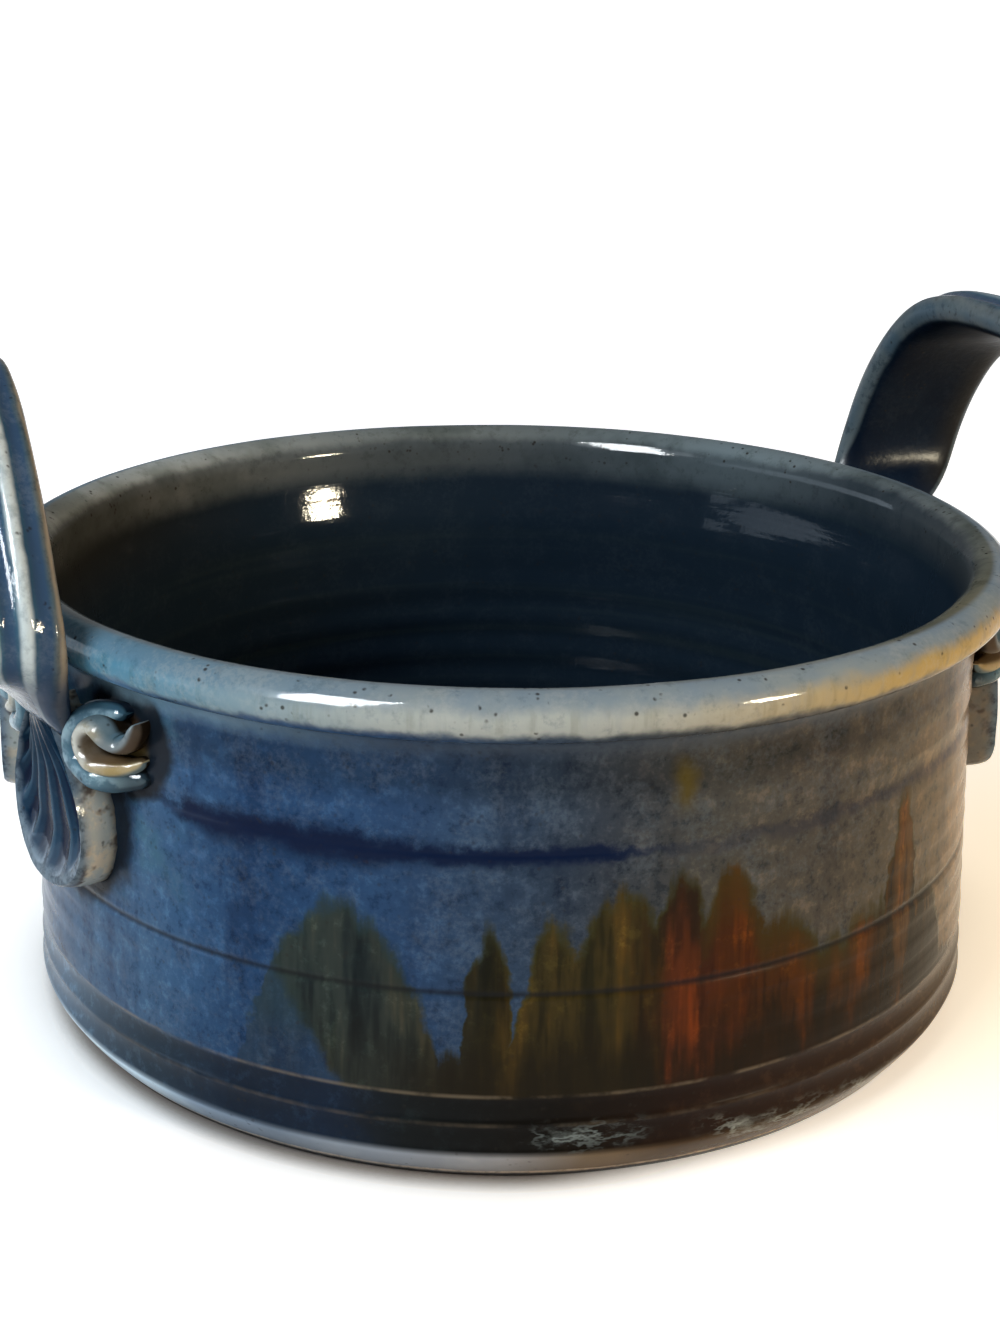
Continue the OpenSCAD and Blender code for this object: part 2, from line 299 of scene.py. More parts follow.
def strapSection(width, thickness, flute):
    # (across, out, across share, outer face) round the strap
    section = []
    for x in acrossShares(strap["outerPoints"]):
        deep = strap["fluteDepth"] * flute / 2 * (1 - math.cos(math.pi * strap["flutes"] * (1 - x)))
        edge = max(0.0, 1 - x ** 6) ** 0.5
        section.append(((x + 1) * width / 2, ((1 - strap["innerShare"]) * thickness - deep) * edge, x, 1))
    for x in acrossShares(strap["innerPoints"])[-2:0:-1]:
        edge = max(0.0, 1 - x ** 6) ** 0.5
        section.append(((x + 1) * width / 2, -strap["innerShare"] * thickness * edge, x, 0))
    return section


def strapTwist(length):
    u = max(0.0, length - strap["twistFrom"]) / strap["twistLength"]
    return 1 - (1 + u) * math.exp(-u)


def placeSection(here, across, out, *section):
    return [here + q[0] * across + q[1] * out for q in strapSection(*section)]


def strapHalf(data):
    gap, rise = data["gap"], data["rise"]
    lean, droop, tilt = [math.radians(data[k]) for k in ("lean", "dip", "legTilt")]
    up = Vector((math.sin(lean), 0, math.cos(lean)))
    leg = Vector((rimAtLeg + gap, legY + data["spread"], dish["height"]))
    run = math.cos(tilt) * up - Vector((0, math.sin(tilt), 0))
    before = leg - run * data["legRun"]
    top = Vector((rimAtLeg + gap, 0, dish["height"])) + up * rise
    half = strap["endWidth"] / 2
    foot = Vector((endRadius * math.cos(endAngle) - half * math.sin(endAngle),
                   endRadius * math.sin(endAngle) + half * math.cos(endAngle), endHeight))
    low = [foot, foot + (before - foot).normalized() * strap["endRun"], before, leg]
    high = [leg, leg + run * data["legPull"], top + Vector((0, data["topPull"], 0)), top]
    rings, alongs, soft = [], [], []
    # the end thins to a tongue that sinks into the top of the shell
    turn = (endAngle - math.pi / 2) * (1 - strapTwist(0))
    across = Vector((math.cos(turn), math.sin(turn), 0))
    out = Vector((0, 0, 1)).cross(across).normalized()
    inward = Vector((-math.cos(endAngle), -math.sin(endAngle), 0))
    for i in range(strap["rootSteps"]):
        s = 1 - i / strap["rootSteps"]
        narrow = 1 - strap["rootNarrow"] * s ** 1.15
        sunk = inward * (strap["rootIn"] * s ** 1.4 + strap["rootDeep"] * s ** 2)
        edge = foot + sunk + across * (strap["footWidth"] / 2 * (1 - narrow) * 0.9)
        edge.z -= strap["rootDrop"] * s
        thick = strap["endThickness"] * max(0.05, 1 - s ** 1.6) ** 0.7
        rings.append(placeSection(edge, across, out, strap["footWidth"] * narrow, thick, 0))
        alongs.append(-s)
        soft.append(strap["softShare"])
    n, m = strap["lowPoints"], strap["highPoints"]
    line = smoothPath([bezier(low, i / n) for i in range(n)] + [bezier(high, i / m) for i in range(m + 1)],
                      strap["steps"])
    step = (line[1] - line[0]).length
    legLength = (leg - foot).length
    for i, here in enumerate(line):
        length = i * step
        s = length / legLength
        ahead = (line[min(i + 1, len(line) - 1)] - line[max(i - 1, 0)]).normalized()
        if i == len(line) - 1:
            ahead = Vector((0, -1, 0))
        turn = (endAngle - math.pi / 2) * (1 - strapTwist(length))
        dip = droop * ease(s)
        across = Vector((math.cos(turn) * math.cos(dip), math.sin(turn), -math.cos(turn) * math.sin(dip)))
        facing = Vector((0, 0, 1)).lerp(ahead, ease(s)).normalized()
        out = facing.cross(across).normalized()
        width = lerp(strap["footWidth"], strap["width"], ease(length / strap["widenRun"]))
        thick = lerp(strap["endThickness"], strap["thickness"], ease(length / strap["thickenRun"]))
        flute = ease((length - strap["fluteFrom"]) / strap["fluteRun"])
        rings.append(placeSection(here, across, out, width, thick, flute))
        alongs.append(min(s, 2))
        soft.append(strap["softShare"] * (1 - ease((length - strap["softFrom"]) / strap["softOver"])))
    # clay bends softly, also where the strap turns over the foot
    for _ in range(data["softPasses"]):
        rings[2:-2] = [[b + (a - b * 2 + c) * soft[i] for a, b, c in zip(*rings[i - 1:i + 2])]
                       for i in range(2, len(rings) - 2)]
    return rings, alongs


def makeStrap(side):
    data = handles[side]
    rings, alongs = strapHalf(data)
    back = [[Vector((p.x, -p.y, p.z)) for p in ring] for ring in rings[-2::-1]]
    rings, alongs = rings + back, alongs + alongs[-2::-1]
    turn = Matrix.Rotation(math.radians(data["turn"]), 3, "Z")
    rings = [[turn @ p for p in ring] for ring in rings]
    section = strapSection(1, 1, 1)
    marks = {
        "across": [[p[2] for p in section] for _ in rings],
        "outer": [[p[3] for p in section] for _ in rings],
        "along": [[a] * len(section) for a in alongs],
    }
    return handMade(extrudeRings("strap_" + side, rings, marks), strap["wobble"], strap["wobbleSize"])


straps = {side: makeStrap(side) for side in handles}
print("straps", [len(p.data.polygons) for p in straps.values()], "faces")

# shells, drawn as fans from the point where the strap runs out
shell = {
    "apex": (0.6, 81.5), "ribs": 11, "hollow": 2.4, "ribHeight": 1.1, "ribSharp": 1.7, "borderRise": 1.1, "bow": 1.6,
    "apexOut": 8.8, "lowOut": 6.6, "skirtOut": -1.6, "backOut": -1.8, "raySteps": 28, "acrossSteps": 154,
    "fan": (0.05, 0.96), "wobble": 0.7, "wobbleSize": 0.012,
    "edge": [(-3.0, 79.6), (-7.4, 74.0), (-11.8, 67.0), (-14.6, 59.8), (-14.6, 53.4), (-11.6, 47.6), (-6.4, 44.2),
             (0.4, 43.0), (7.0, 44.0), (12.0, 47.2), (15.0, 52.8), (15.2, 59.2), (12.8, 66.6),
             (8.4, 74.0), (4.2, 79.6)],
    # share of the ray, and how far the skirt has fallen to the wall
    "skirt": [(0.985, 0.0), (1.0, 0.12), (1.012, 0.3), (1.02, 0.5), (1.025, 0.7), (1.03, 0.88), (1.03, 1.15)],
}


def onWall(angle, x, z, out):
    turn = angle + x / neckRadius
    r = wallRadius(z) + out
    return Vector((r * math.cos(turn), r * math.sin(turn), z))


def makeShell(name, angle, way):
    n, m = shell["acrossSteps"], shell["raySteps"]
    border = smoothPath([(x, z, 0) for x, z in shell["edge"]], n + 1)
    apex = Vector((*shell["apex"], 0))
    rings, marks = [], {"rib": [], "rim": [], "skirt": []}
    for s, fall in [(lerp(*shell["fan"], j / m), 0) for j in range(m + 1)] + shell["skirt"]:
        ring, row = [], []
        for i in range(n + 1):
            u = 2 * i / n - 1
            flat = apex + (border[i] - apex) * s
            bow = shell["bow"] * math.sin(math.pi * min(s, 1)) * (1 - abs(u)) * (1 if u > 0 else -1)
            bow *= min(1, abs(u) * 4)
            wave = 0.5 + 0.5 * math.cos(math.pi * 2 * shell["ribs"] * (i / n - 0.5))
            wave = 2 * wave ** shell["ribSharp"] - 1
            fade = ease((s - 0.08) / 0.3) * ease((0.97 - s) / 0.12)
            out = lerp(shell["apexOut"], shell["lowOut"], ease(s))
            out -= shell["hollow"] * ease(s / 0.45) * ease((1.0 - s) / 0.3) * (1 - u * u * 0.55)
            out += shell["ribHeight"] / 2 * fade * wave * (1 - u ** 8)
            edge = max(ease((s - 0.86) / 0.1), ease((abs(u) - 0.88) / 0.1))
            out += shell["borderRise"] * edge * (1 - fall)
            out = lerp(out, shell["skirtOut"], fall ** 1.35) if fall else out
            ring.append(onWall(angle, way * (flat.x + bow), flat.y, out))
            row.append((0.5 + 0.5 * wave * fade, edge, fall))
        # a plain back, sunk in the wall
        for i in range(n - 6, 0, -12):
            flat = apex + (border[i] - apex) * s
            ring.append(onWall(angle, way * flat.x, flat.y, shell["backOut"]))
            row.append((0, 0, 1))
        rings.append(ring)
        for table, column in zip(marks.values(), zip(*row)):
            table.append(column)
    return handMade(extrudeRings(name, rings, marks), shell["wobble"], shell["wobbleSize"])


# scrolls: an open roll with a raised lip that ends in a hook
scroll = {
    "roll": [(26.6, 70.6), (22.0, 70.0), (16.6, 70.2), (12.6, 71.6), (10.8, 74.4), (11.4, 77.6), (14.4, 80.6),
             (18.4, 82.4), (22.6, 83.0)],
    "rollWidth": 3.1, "rollOut": 8.0, "rollEnds": (1.6, 3.4), "rollSteps": 64,
    "lip": [(26.4, 74.4), (23.6, 73.0), (20.2, 72.6), (17.0, 73.4), (15.0, 75.6), (15.2, 78.2), (17.4, 80.2),
            (19.8, 80.2), (21.6, 78.4), (23.6, 77.8), (25.4, 79.2), (26.6, 82.4)],
    "lipWidth": 2.2, "lipOut": 8.4, "lipEnds": (2.2, 4.6), "lipSteps": 76,
    "sunk": 1.4, "capShare": 0.06, "sides": 20, "wobble": 0.8, "wobbleSize": 0.008,
}


def strandRings(angle, way, kind):
    width, top, steps = [scroll[kind + key] for key in ("Width", "Out", "Steps")]
    startTop, endTop = scroll[kind + "Ends"]
    line = smoothPath([(x, z, 0) for x, z in scroll[kind]], steps)
    rings, along = [], []
    for i, here in enumerate(line):
        s = i / (steps - 1)
        fromEnd = min(s, 1 - s)
        ahead = (line[min(i + 1, steps - 1)] - line[max(i - 1, 0)]).normalized()
        side = Vector((-ahead.y, ahead.x, 0))
        cap = 1
        if fromEnd < scroll["capShare"]:
            cap = math.sqrt(max(0.0, 1 - (1 - fromEnd / scroll["capShare"]) ** 2))
        w = width * max(0.22, cap) * lerp(0.55, 1, ease(fromEnd / 0.24))
        rise = lerp(startTop, top, ease(s / 0.3)) if s < 0.5 else lerp(endTop, top, ease((1 - s) / 0.35))
        half = (rise + scroll["sunk"]) / 2
        ring = []
        for k in range(scroll["sides"]):
            q = 2 * math.pi * k / scroll["sides"]
            flat = here + side * (w * math.cos(q))
            flatten = 0.55 + 0.45 * max(0.3, cap) if math.sin(q) > 0 else 1
            out = -scroll["sunk"] + half + half * math.sin(q) * flatten
            ring.append(onWall(angle, way * flat.x, flat.y, out))
        rings.append(ring)
        along.append(s)
    return rings, along


def makeScroll(name, angle, way):
    parts = []
    sides = scroll["sides"]
    crest = [max(0.0, math.sin(2 * math.pi * k / sides)) for k in range(sides)]
    outward = [math.cos(2 * math.pi * k / sides) for k in range(sides)]
    for kind in ("roll", "lip"):
        rings, along = strandRings(angle, way, kind)
        marks = {
            "crest": [crest for _ in rings],
            "outward": [outward for _ in rings],
            "along": [[a] * sides for a in along],
            "lip": [[1.0 if kind == "lip" else 0.0] * sides for _ in rings],
        }
        parts.append(extrudeRings(name + "_" + kind, rings, marks))
    deselectAll()
    for part in parts:
        part.select_set(True)
    bpy.context.view_layer.objects.active = parts[0]
    bpy.ops.object.join()
    parts[0].name = parts[0].data.name = name
    return handMade(parts[0], scroll["wobble"], scroll["wobbleSize"])


shells, scrolls = {}, {}
for side, data in handles.items():
    for end in ("front", "rear"):
        way = 1 if (end == "rear") == (side == "right") else -1
        angle = math.radians(data["turn"]) + way * endAngle
        name = side + "_" + end
        shells[name] = makeShell("shell_" + name + "_glazed", angle, way)
        for roll, turn in (("outer", 1), ("inner", -1)):
            scrolls[name + "_" + roll] = makeScroll("scroll_" + name + "_" + roll + "_glazed", angle, way * turn)
print("shells", len(shells), "scrolls", len(scrolls))


# node helpers
class Nodes:
    def __init__(self, tree):
        self.tree = tree
        self.at = 0

    def add(self, kind, **inputs):
        node = self.tree.nodes.new(kind)
        self.at += 1
        node.location = (self.at % 40 * 190, -(self.at // 40) * 260)
        for key, value in inputs.items():
            self.feed(node.inputs[int(key[1:]) if key[0] == "i" and key[1:].isdigit() else key], value)
        return node

    def feed(self, socket, value):
        if isinstance(value, bpy.types.NodeSocket):
            self.tree.links.new(value, socket)
        elif socket.type == "RGBA" and len(value) == 3:
            socket.default_value = (*value, 1)
        else:
            socket.default_value = value

    def calc(self, how, a, b=0.0, hold=False):
        node = self.add("ShaderNodeMath", i0=a, i1=b)
        node.operation, node.use_clamp = how, hold
        return node.outputs[0]

    def times(self, a, b, hold=False):
        return self.calc("MULTIPLY", a, b, hold)

    def plus(self, a, b, hold=False):
        return self.calc("ADD", a, b, hold)

    def minus(self, a, b):
        return self.calc("SUBTRACT", a, b)

    def over(self, a, b):
        return self.calc("DIVIDE", a, b)

    def length(self, a, b):
        return self.calc("SQRT", self.plus(self.times(a, a), self.times(b, b)))

    def sway(self, noise, reach):
        # noise about its middle
        return self.times(self.minus(noise, 0.5), reach)

    def span(self, value, low, high, a=0.0, b=1.0):
        node = self.add("ShaderNodeMapRange", i0=value, i1=low, i2=high, i3=a, i4=b)
        node.interpolation_type = "SMOOTHSTEP"
        return node.outputs[0]

    def band(self, value, middle, width):
        # 1 on the middle and 0 a width away
        return self.span(self.calc("ABSOLUTE", self.minus(value, middle)), width, 0.0)

    def tint(self, share, a, b, how="MIX"):
        node = self.add("ShaderNodeMix")
        node.data_type, node.blend_type = "RGBA", how
        for socket, value in ((node.inputs[0], share), (node.inputs[6], a), (node.inputs[7], b)):
            self.feed(socket, value)
        return node.outputs[2]

    def shade(self, share, colour, factor):
        # lighter or darker by a factor where the share is 1
        return self.tint(share, colour, self.tint(1.0, colour, factor, "MULTIPLY"))

    def ramp(self, value, stops):
        node = self.add("ShaderNodeValToRGB", i0=value)
        for i, (at, colour) in enumerate(stops):
            stop = node.color_ramp.elements[i] if i < 2 else node.color_ramp.elements.new(at)
            stop.position, stop.color = at, (*colour, 1)
        return node.outputs[0]

    def noise(self, where, scale, detail=3.0, rough=0.55, squash=(1, 1, 1)):
        if squash != (1, 1, 1):
            moved = self.add("ShaderNodeVectorMath", i0=where, i1=squash)
            moved.operation = "MULTIPLY"
            where = moved.outputs[0]
        node = self.add("ShaderNodeTexNoise", Vector=where, Scale=scale, Detail=detail, Roughness=rough)
        return node.outputs[0]

    def mark(self, name):
        node = self.add("ShaderNodeAttribute")
        node.attribute_name = name
        return node.outputs["Fac"]


def newGroup(name, inputs, outputs):
    tree = bpy.data.node_groups.new(name, "ShaderNodeTree")
    for label, kind, value in inputs:
        socket = tree.interface.new_socket(name=label, in_out="INPUT", socket_type=kind)
        if value is not None:
            socket.default_value = value
    for label, kind in outputs:
        tree.interface.new_socket(name=label, in_out="OUTPUT", socket_type=kind)
    nodes = Nodes(tree)
    return nodes, nodes.add("NodeGroupInput"), nodes.add("NodeGroupOutput")


def makeSpeckle():
    # iron specks, pale milky flecks and the pebbled skin of a fired glaze
    n, given, result = newGroup(
        "glazeSpeckle",
        [("Place", "NodeSocketVector", None), ("Specks", "NodeSocketFloat", 0.5), ("Milk", "NodeSocketFloat", 0.5)],
        [(label, "NodeSocketFloat") for label in ("Specks", "Milk", "Skin", "Cloud")])
    place = given.outputs["Place"]
    dots = n.add("ShaderNodeTexVoronoi", Vector=place, Scale=620.0)
    size = n.noise(place, 240, 2)
    speck = n.times(n.span(dots.outputs["Distance"], 0.34, 0.12), n.span(size, 0.56, 0.64))
    n.feed(result.inputs["Specks"], n.times(speck, given.outputs["Specks"], hold=True))
    milk = n.times(n.noise(place, 900, 3, 0.7), n.noise(place, 130, 3, 0.6))
    n.feed(result.inputs["Milk"], n.times(n.span(milk, 0.2, 0.42), given.outputs["Milk"], hold=True))
    n.feed(result.inputs["Skin"], n.noise(place, 420, 3, 0.6))
    n.feed(result.inputs["Cloud"], n.noise(place, 42, 4, 0.62))
    return n.tree


speckleGroup = makeSpeckle()


def newMaterial(name):
    material = bpy.data.materials.new(name)
    material.use_nodes = True
    material.node_tree.nodes.clear()
    return material, Nodes(material.node_tree)


def newGlaze(name, gloss, specks=1.0, milk=1.0):
    material, n = newMaterial(name)
    shader = n.add("ShaderNodeBsdfPrincipled")
    n.feed(shader.inputs["Specular IOR Level"], gloss)
    n.add("ShaderNodeOutputMaterial", Surface=shader.outputs[0])
    place = n.add("ShaderNodeTexCoord").outputs["Object"]
    speckle = n.add("ShaderNodeGroup")
    speckle.node_tree = speckleGroup
    for key, value in (("Place", place), ("Specks", specks), ("Milk", milk)):
        n.feed(speckle.inputs[key], value)
    return material, n, shader, place, speckle.outputs


def finishGlaze(n, shader, colour, rough, height, depth):
    bump = n.add("ShaderNodeBump", Height=height, Distance=depth, Strength=1.0)
    for key, value in (("Base Color", colour), ("Roughness", rough), ("Normal", bump.outputs[0])):
        n.feed(shader.inputs[key], value)


def rightSide(n, place):
    return n.span(n.add("ShaderNodeSeparateXYZ", Vector=place).outputs[0], -0.01, 0.01)


# glaze of the dish
runs = [
    # at, half width, top, fall, all in degrees from the front and millimetres
    (-16.5, 10.0, 55.0, 26.0), (-1.2, 3.0, 51.5, 26.0), (5.6, 3.2, 53.8, 14.0), (12.6, 4.2, 58.8, 8.0),
    (18.6, 2.2, 60.8, 6.0), (24.3, 3.4, 61.0, 9.0), (30.5, 5.0, 49.0, 7.0), (44.0, 6.0, 44.0, 6.0),
    (50.0, 3.2, 65.0, 20.0), (56.0, 4.0, 42.0, 10.0),
    # round the back
    (-128.0, 8.0, 52.0, 20.0), (-139.0, 3.0, 57.0, 16.0), (-147.0, 5.0, 49.0, 10.0), (-158.0, 6.0, 58.0, 22.0),
    (-170.0, 4.0, 44.0, 10.0), (-181.0, 7.0, 53.0, 18.0), (-196.0, 5.0, 41.0, 9.0),
]
glaze = {
    # wall colour round the dish: blue glaze with painted light, paler blue on the window side and warm on the lamp side
    "wall": [(-250, (.050, .046, .040)), (-200, (.020, .040, .076)), (-120, (.020, .052, .105)),
             (-66, (.032, .080, .160)), (-50, (.048, .112, .210)), (-42, (.046, .108, .200)), (-34, (.027, .074, .158)),
             (-26, (.013, .043, .108)), (-18, (.017, .050, .120)), (-10, (.018, .047, .110)), (-2, (.023, .046, .090)),
             (6, (.021, .035, .060)), (14, (.038, .044, .052)), (22, (.062, .061, .053)), (34, (.069, .063, .053)),
             (48, (.084, .073, .056)), (58, (.14, .104, .062)), (72, (.21, .132, .066)), (110, (.050, .046, .040))],
    "runs": [(-250, (.030, .022, .004)), (-190, (.040, .018, .003)), (-150, (.034, .024, .005)),
             (-30, (.027, .039, .034)), (-12, (.024, .030, .026)), (-6, (.018, .019, .013)), (-1, (.014, .011, .003)),
             (5, (.034, .024, .006)), (13, (.036, .025, .006)), (16.4, (.024, .011, .002)), (18.4, (.078, .019, .005)),
             (24, (.046, .013, .002)), (29, (.048, .015, .002)), (34, (.064, .019, .002)), (46, (.046, .017, .001)),
             (51, (.090, .040, .007)), (62, (.060, .040, .018)), (110, (.030, .022, .004))],
    "low": [(-250, (.012, .010, .006)), (-120, (.010, .016, .024)), (-62, (.080, .130, .190)),
            (-50, (.032, .052, .074)),
            (-42, (.014, .024, .034)), (-30, (.005, .010, .019)), (-18, (.005, .011, .024)), (-10, (.004, .006, .007)),
            (6, (.003, .002, .001)), (22, (.014, .006, .003)), (48, (.030, .014, .006)), (62, (.060, .034, .014)),
            (110, (.012, .010, .006))],
    # foot bevel colour round the dish: glaze with a painted reflection of the pale floor, brightest on the window side
    "foot": [(-250, (.060, .050, .036)), (-120, (.100, .125, .150)), (-60, (.680, .820, .930)),
             (-44, (.640, .800, .930)),
             (-34, (.250, .330, .430)), (-24, (.190, .240, .305)), (-12, (.300, .335, .385)), (0, (.330, .330, .340)),
             (9, (.180, .130, .080)), (18, (.075, .045, .020)), (40, (.060, .038, .016)), (110, (.060, .050, .036))],
    "lip": [(-250, (.165, .185, .185)), (-215, (.190, .235, .250)), (-188, (.155, .172, .168)),
            (-162, (.150, .170, .168)), (-125, (.360, .390, .380)), (-80, (.220, .240, .220)),
            (-60, (.120, .165, .200)), (0, (.190, .225, .245)), (60, (.200, .180, .120)), (110, (.165, .185, .185))],
    # shares round the dish: how wide the groove's dark glaze is, how high the brown stands, where crystals float
    "grooveWide": [(-250, .2), (-60, .2), (-37, .22), (-32, .86), (-20, .95), (-6, .62), (11, .5), (15.5, .2),
                   (22, .42), (80, .42), (110, .2)],
    "runBase": [(-250, 0), (-205, .2), (-190, .32), (-130, .30), (-118, 0), (-16, 0), (-12, .27), (14, .30),
                (17, .48), (29, .47), (34, .41), (55, .43), (60, .25), (66, .20), (100, 0), (110, 0)],
    "wisps": [(-250, 0), (-170, .1), (-160, .9), (-148, .1), (-60, 0), (2, 0), (6, .9), (13, .8), (16, 0), (21, 0),
              (26, .9), (33, .7), (37, .3), (42, .9), (47, .6), (52, 0), (110, 0)],
    # the wall by height: darker towards the foot, a band of painted shade under the rim, lighter at the neck
    "heights": [(8, .72), (24, .84), (40, .94), (58, .94), (66, .90), (71, 1.0), (75, 1.0), (80, .54), (84, .66),
                (87, 1.2), (93, 1.3)],
    "milk": (.15, .19, .23), "teal": (.034, .105, .140), "farRightReflection": (.300, .235, .165),
    "groove": (.0010, .0060, .028), "runFoot": (.010, .007, .003), "crown": ((.013, .008, .003), (.040, .024, .004)),
    "ember": (.082, .019, .007), "fringe": ((.017, .032, .030), (.036, .036, .009)),
    "smear": (.085, .062, .008), "line": (.006, .007, .008), "cream": (.26, .20, .13),
    "crystal": ((.17, .20, .195), (.300, .320, .285)), "pool": (.005, .006, .008),
    "deep": ((.040, .022, .010), (.180, .125, .040)), "speck": (.022, .018, .014),
    "rimTop": ((.190, .245, .290), (.235, .275, .285)), "rimTopTeal": (.085, .190, .275),
    "rimLow": (.370, .395, .370), "rimGold": (.450, .310, .085), "rimTeal": (.082, .218, .310),
    "rimMilk": (.46, .46, .42), "rimUnderShade": (.060, .080, .095), "neck": ((.052, .070, .096), (.260, .410, .510)),
    "inside": ((.0090, .0175, .0285), (.014, .024, .032)), "insideMilk": (.10, .12, .13),
    "insideLeft": (.021, .018, .010), "clay": ((.86, .68, .50), (.36, .28, .20)),
    # middle height, half width and half height of the dark glaze round a shell and a scroll
    "shellPool": (58.0, 19.5, 17.5), "scrollPool": (77.0, 11.5, 11.0), "scrollOff": 20.0,
}
azimuthFrom, frontTurn = -250.0, 70.0  # where the tables above begin, and the front seen from the x axis


def azimuthStops(key):
    # a share becomes a grey
    return [((at - azimuthFrom) / 360, value if isinstance(value, tuple) else (value,) * 3)
            for at, value in glaze[key]]


def dishMaterial():
    material, n, shader, place, speckle = newGlaze("dish_glaze", 0.055)
    cloud, milk = speckle["Cloud"], speckle["Milk"]
    x, y, z = [n.times(a, 1000.0) for a in n.add("ShaderNodeSeparateXYZ", Vector=place).outputs]
    radius = n.length(x, y)
    turn = n.calc("ARCTAN2", n.times(y, -1.0), n.times(x, -1.0))
    azimuth = n.minus(n.times(turn, 180 / math.pi), frontTurn)
    round360 = n.over(n.plus(azimuth, -azimuthFrom), 360.0)
    streak = n.noise(place, 95, 4, 0.6, (1, 1, 0.16))
    fineStreak = n.noise(place, 330, 3, 0.6, (1, 1, 0.1))
    column = n.noise(place, 170, 3, 0.6, (1, 1, 0.13))
    grain = n.noise(place, 250, 5, 0.72)
    rough = n.minus(n.noise(place, 120, 4, 0.6), 0.5)
    rings = n.noise(place, 60, 3, 0.6, (0.06, 0.06, 3.2))

    # the wall: blue glaze with painted light by direction, paler blue on the window side and warm on the lamp side,
    # clouded, flecked, with painted shade under the rim
    wall = n.ramp(round360, azimuthStops("wall"))
    # the height table, with its painted shade under the rim
    heights = [(at / 100, (v,) * 3) for at, v in glaze["heights"]]
    wall = n.tint(1.0, wall, n.ramp(n.over(z, 100.0), heights), "MULTIPLY")
    wall = n.shade(n.span(cloud, 0.46, 0.74), wall, (1.4, 1.36, 1.28))
    wall = n.shade(n.span(streak, 0.5, 0.34), wall, (.66, .68, .74))
    wall = n.shade(n.span(grain, 0.5, 0.68), wall, (1.75, 1.6, 1.45))
    wall = n.shade(n.span(grain, 0.48, 0.33), wall, (.5, .56, .64))
    wall = n.tint(n.times(milk, 0.16), wall, glaze["milk"])
    teal = n.times(n.band(azimuth, -41.0, 9.0), n.span(cloud, 0.44, 0.62))
    teal = n.times(teal, n.span(z, 42.0, 50.0))
    wall = n.tint(n.times(teal, 0.7), wall, glaze["teal"])
    # a painted warm reflection along the far right of the wall
    wall = n.tint(n.times(n.band(azimuth, 80.0, 20.0), 0.45), wall, glaze["farRightReflection"])

    # dark glaze pooled in the groove
    wide = n.ramp(round360, azimuthStops("grooveWide"))
    wander = n.plus(n.plus(z, n.times(rough, 6.0)), n.sway(grain, 4.0))
    offGroove = n.calc("ABSOLUTE", n.minus(wander, 66.6))
    groove = n.span(offGroove, n.times(wide, 5.6), n.times(wide, 0.8))
    groove = n.times(groove, n.span(wide, 0.06, 0.5, 0.4, 1.0))
    faint = n.calc("MAXIMUM", n.span(azimuth, 14.0, 20.0, 1.0, 0.4), n.span(azimuth, 90.0, 108.0, 0.4, 1.0))
    groove = n.times(groove, faint)
    wall = n.tint(n.times(groove, 0.97), wall, glaze["groove"])

    # runs of brown and olive glaze, each a lobe that climbs the wall and feathers out
    level = n.times(n.ramp(round360, azimuthStops("runBase")), 100.0)
    bent = n.plus(azimuth, n.times(rough, 3.4))
    for at, half, top, fall in runs:
        off = n.over(n.minus(bent, at), half)
        level = n.calc("MAXIMUM", level, n.minus(top, n.times(n.times(off, off), fall)))
    level = n.plus(n.plus(level, n.sway(fineStreak, 9.0)), n.sway(grain, 7.0))
    # the first run leans, and its left side is cut off by a slanting line
    lowLeft = n.plus(-24.8, n.times(n.calc("MAXIMUM", n.minus(42.7, z), 0.0), 0.338))
    fromLeft = n.plus(n.times(n.minus(bent, lowLeft), 1.8), n.sway(grain, 5.0))
    fromLeft = n.calc("MAXIMUM", fromLeft, n.times(n.calc("LESS_THAN", azimuth, -90.0), 50.0))
    below = n.calc("MINIMUM", n.minus(level, z), fromLeft)
    inRun = n.span(below, -1.8, 2.2)
    run = n.ramp(n.plus(round360, n.sway(fineStreak, 0.024)), azimuthStops("runs"))
    run = n.shade(n.span(column, 0.5, 0.66), run, (2.1, 1.7, 1.3))
    run = n.shade(n.span(column, 0.5, 0.36), run, (.4, .5, .6))
    run = n.shade(n.span(fineStreak, 0.5, 0.32), run, (.5, .56, .6))
    run = n.shade(n.span(grain, 0.52, 0.7), run, (1.6, 1.7, 1.6))
    foot = n.span(n.plus(z, n.sway(column, 40.0)), 38.0, 22.0)
    run = n.tint(n.times(foot, n.span(azimuth, -14.0, -4.0, 0.4, 0.85)), run, glaze["runFoot"])
    crown = n.times(n.span(azimuth, 14.0, 17.0), n.span(azimuth, 44.0, 38.0))
    crown = n.times(n.span(below, 13.0, 3.0), crown)
    run = n.tint(n.times(crown, 0.78), run, n.tint(n.span(azimuth, 20.0, 22.0), *glaze["crown"]))
    ember = n.times(n.band(azimuth, 22.5, 9.0), n.span(cloud, 0.4, 0.58))
    ember = n.times(n.band(z, 34.0, 12.0), ember)
    run = n.tint(n.times(ember, 0.7), run, glaze["ember"])
    wall = n.tint(inRun, wall, run)
    fringe = n.times(n.band(below, 0.6, 3.4), n.span(cloud, 0.34, 0.56, 0.3, 1.0))
    fringe = n.times(fringe, n.span(z, 24.0, 34.0))
    wall = n.tint(n.times(fringe, 0.55), wall, n.tint(n.span(azimuth, -8.0, 2.0), *glaze["fringe"]))
    smear = n.times(n.span(z, 71.5, 77.0), n.span(z, 86.5, 80.0))
    smear = n.times(n.band(bent, 18.4, 2.0), smear)
    wall = n.tint(n.times(smear, 0.8), wall, glaze["smear"])
    wall = n.tint(n.times(n.band(z, dish["lineHeight"], 1.0), 0.7), wall, glaze["line"])

